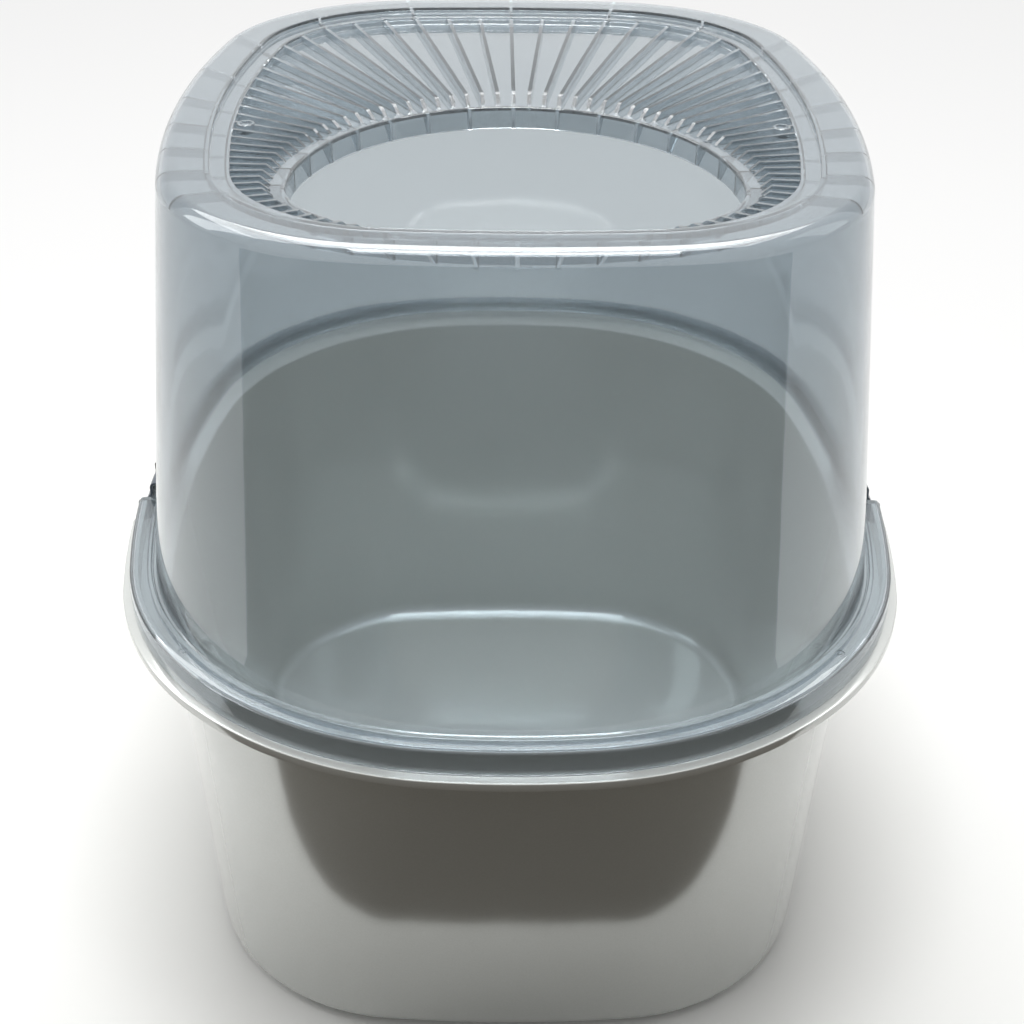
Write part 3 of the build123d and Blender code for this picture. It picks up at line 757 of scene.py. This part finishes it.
def card_edge(x):
    """The card's far edge: a rise of exp(-((|x| - place) / width)^2) at each side of the middle,
    and further out a fall. The pan mirrors it as the lower edge of its dark arc."""
    rise = CARD_RISE * np.exp(-((abs(x) - RISE_AT) / RISE_WIDTH) ** 2)
    return CARD_EDGE + rise - CARD_FALL * np.clip(abs(x) - FALL_FROM, 0, None) ** FALL_POWER


def shader_mix(tree, share, first, second):
    """One shader, and a share of another over it."""
    return add(tree, "ShaderNodeMixShader", links={0: share, 1: first, 2: second}).outputs[0]


def either(tree, first, second):
    """The larger of two values, so 1 where either is 1."""
    return add(tree, "ShaderNodeMath", {"operation": "MAXIMUM"},
               links={0: first, 1: second}).outputs[0]


def eye_rays(tree):
    """1 for what the camera sees, straight or through gloss or clear plastic, else 0."""
    path = add(tree, "ShaderNodeLightPath").outputs
    return either(tree, either(tree, path["Is Camera Ray"], path["Is Glossy Ray"]),
                  path["Is Transmission Ray"])


def floor_paper():
    """Matt white paper. Away from the object it turns to plain white for the eye, and near the
    object it keeps its shadow."""
    material, tree, out = empty_material("white studio floor")
    paper = add(tree, "ShaderNodeBsdfPrincipled",
                values={"Base Color": linear("#E0E0DE"), "Roughness": 0.9,
                        "Specular IOR Level": 0.2})
    white = add(tree, "ShaderNodeEmission", values={"Color": (1, 1, 1, 1), "Strength": 1.0})
    place = add(tree, "ShaderNodeTexCoord")
    away = add(tree, "ShaderNodeVectorMath", {"operation": "LENGTH"},
               links={0: place.outputs["Object"]})
    share = add(tree, "ShaderNodeMapRange",
                values={"From Min": WHITE_FROM, "From Max": WHITE_FULL, "To Min": 0.0,
                        "To Max": WHITE_SHARE},
                links={"Value": away.outputs["Value"]})
    seen = add(tree, "ShaderNodeMath", {"operation": "MULTIPLY"},
               links={0: share.outputs["Result"], 1: eye_rays(tree)})
    tree.links.new(shader_mix(tree, seen.outputs[0], paper.outputs[0], white.outputs[0]),
                   out.inputs["Surface"])
    return material


def dark_paper():
    """Dark matt paper that only shows from above and in reflections: light from its back and
    rays that have not been mirrored or scattered yet go straight through."""
    material, tree, out = empty_material("dark paper")
    paper = add(tree, "ShaderNodeBsdfPrincipled",
                values={"Base Color": linear("#453F35"), "Roughness": 0.9,
                        "Specular IOR Level": 0.2})
    clear = add(tree, "ShaderNodeBsdfTransparent").outputs[0]
    side = add(tree, "ShaderNodeNewGeometry")
    path = add(tree, "ShaderNodeLightPath").outputs
    bounced = add(tree, "ShaderNodeMath", {"operation": "GREATER_THAN"}, {1: 0.5},
                  {0: either(tree, path["Glossy Depth"], path["Diffuse Depth"])})
    shown = shader_mix(tree, bounced.outputs[0], clear, paper.outputs[0])
    tree.links.new(shader_mix(tree, side.outputs["Backfacing"], shown, clear),
                   out.inputs["Surface"])
    return material


def bright_paper():
    """A lit white panel."""
    material, tree, out = empty_material("lit panel")
    lit = add(tree, "ShaderNodeEmission", values={"Color": (1, 1, 1, 1), "Strength": 5.5})
    tree.links.new(lit.outputs[0], out.inputs["Surface"])
    return material


FLOOR_SPAN = (-FLOOR_HALF, FLOOR_HALF)
stage_plane("floor", rectangle(FLOOR_SPAN, FLOOR_SPAN), 0.0, floor_paper())
across = np.linspace(CARD_HALF, -CARD_HALF, 61)
card_outline = [(CARD_HALF, CARD_NEAR), *zip(across.tolist(), card_edge(across).tolist()),
                (-CARD_HALF, CARD_NEAR)]
card = stage_plane("dark_card", card_outline, CARD_HEIGHT, dark_paper())
card.visible_camera = False
panel = stage_plane("bright_panel", rectangle(PANEL_X, PANEL_Y)[::-1], PANEL_HEIGHT,
                    bright_paper())
panel.visible_camera = panel.visible_diffuse = panel.visible_shadow = False
panel.visible_transmission = False
print("card edge in front of the middle", round(float(card_edge(0.0)), 3), "m")

# %% World
# The eye sees plain white. Scattered light has the level plus the heading's share of the lean.
WORLD_LEVEL, WORLD_LEAN = 0.46, (-0.10, 0.24, 0.08)
world = bpy.data.worlds.new("white room")
bpy.context.scene.world = world
world.use_nodes = True
tree = world.node_tree
tree.nodes.clear()
plain = add(tree, "ShaderNodeBackground", values={"Color": (1, 1, 1, 1), "Strength": 1.0})
heading = add(tree, "ShaderNodeTexCoord")
lean = add(tree, "ShaderNodeVectorMath", {"operation": "DOT_PRODUCT"}, {1: WORLD_LEAN},
           {0: heading.outputs["Generated"]})
level = add(tree, "ShaderNodeMath", {"operation": "ADD"}, {1: WORLD_LEVEL},
            {0: lean.outputs["Value"]})
lit = add(tree, "ShaderNodeBackground", values={"Color": (1, 1, 1, 1)},
          links={"Strength": level.outputs[0]})
both = shader_mix(tree, eye_rays(tree), lit.outputs[0], plain.outputs[0])
add(tree, "ShaderNodeOutputWorld", links={"Surface": both})
print("world", world.name)


# %% Lamps
def soft_box(name, at, towards, size, watts):
    """A rectangular lamp at a point, facing another."""
    lamp = bpy.data.lights.new(name, "AREA")
    lamp.shape, lamp.size, lamp.size_y, lamp.energy = "RECTANGLE", *size, watts
    holder = bpy.data.objects.new(name, lamp)
    bpy.context.scene.collection.objects.link(holder)
    holder.location = at
    holder.rotation_euler = (Vector(towards) - Vector(at)).to_track_quat("-Z", "Y").to_euler()


AIM = (0, 0, 0.3)
for name, at, size, watts in (
        ("back overhead", (0.0, 0.70, 1.85), (1.3, 0.9), 18),
        ("front overhead", (0.0, -0.35, 1.95), (0.9, 0.5), 20),
        ("left window", (-1.5, 0.2, 1.2), (0.6, 1.2), 7),
        ("right fill", (1.6, 0.2, 1.1), (0.6, 1.2), 2)):
    soft_box(name, at, AIM, size, watts)
    print(name, watts, "W")

# %% [markdown]
# ## Camera
# The camera stands where the photographer's did: in front, 31 degrees above the level, with a
# slightly turned and rolled view. The place and the lens were fitted to the outlines in the
# photograph, taken as 1024 by 1024 pixels.

# %% Camera
def axis_turns(yaw, pitch, roll):
    """The camera's right, up and backward directions for its turns in degrees."""
    y, p, r = np.radians([yaw, pitch, roll])
    ahead = np.array([-np.sin(y) * np.cos(p), np.cos(y) * np.cos(p), -np.sin(p)])
    level = np.array([np.cos(y), np.sin(y), 0.0])
    down = np.array([np.sin(y) * np.sin(p), -np.cos(y) * np.sin(p), -np.cos(p)])
    right = level * np.cos(r) - down * np.sin(r)
    low = level * np.sin(r) + down * np.cos(r)
    return right, -low, -ahead


PHOTO_WIDTH, FOCAL_PIXELS, SENSOR = 1024, 1623.6, 36.0
CAMERA_TURNS = (-0.796, 31.0, 0.657)
CAMERA_PLACE = (-9.7, -801.6, FLANGE_TOP + 453.7)
lens = bpy.data.cameras.new("camera")
lens.sensor_width, lens.lens = SENSOR, FOCAL_PIXELS * SENSOR / PHOTO_WIDTH
camera = bpy.data.objects.new("camera", lens)
bpy.context.scene.collection.objects.link(camera)
bpy.context.scene.camera = camera
turned = np.eye(4)
turned[:3, :3] = np.column_stack(axis_turns(*CAMERA_TURNS))
turned[:3, 3] = np.array(CAMERA_PLACE) / 1000
camera.matrix_world = Matrix(turned.tolist())
bpy.context.scene.view_settings.view_transform = "Standard"
print("lens", round(lens.lens, 2), "mm")
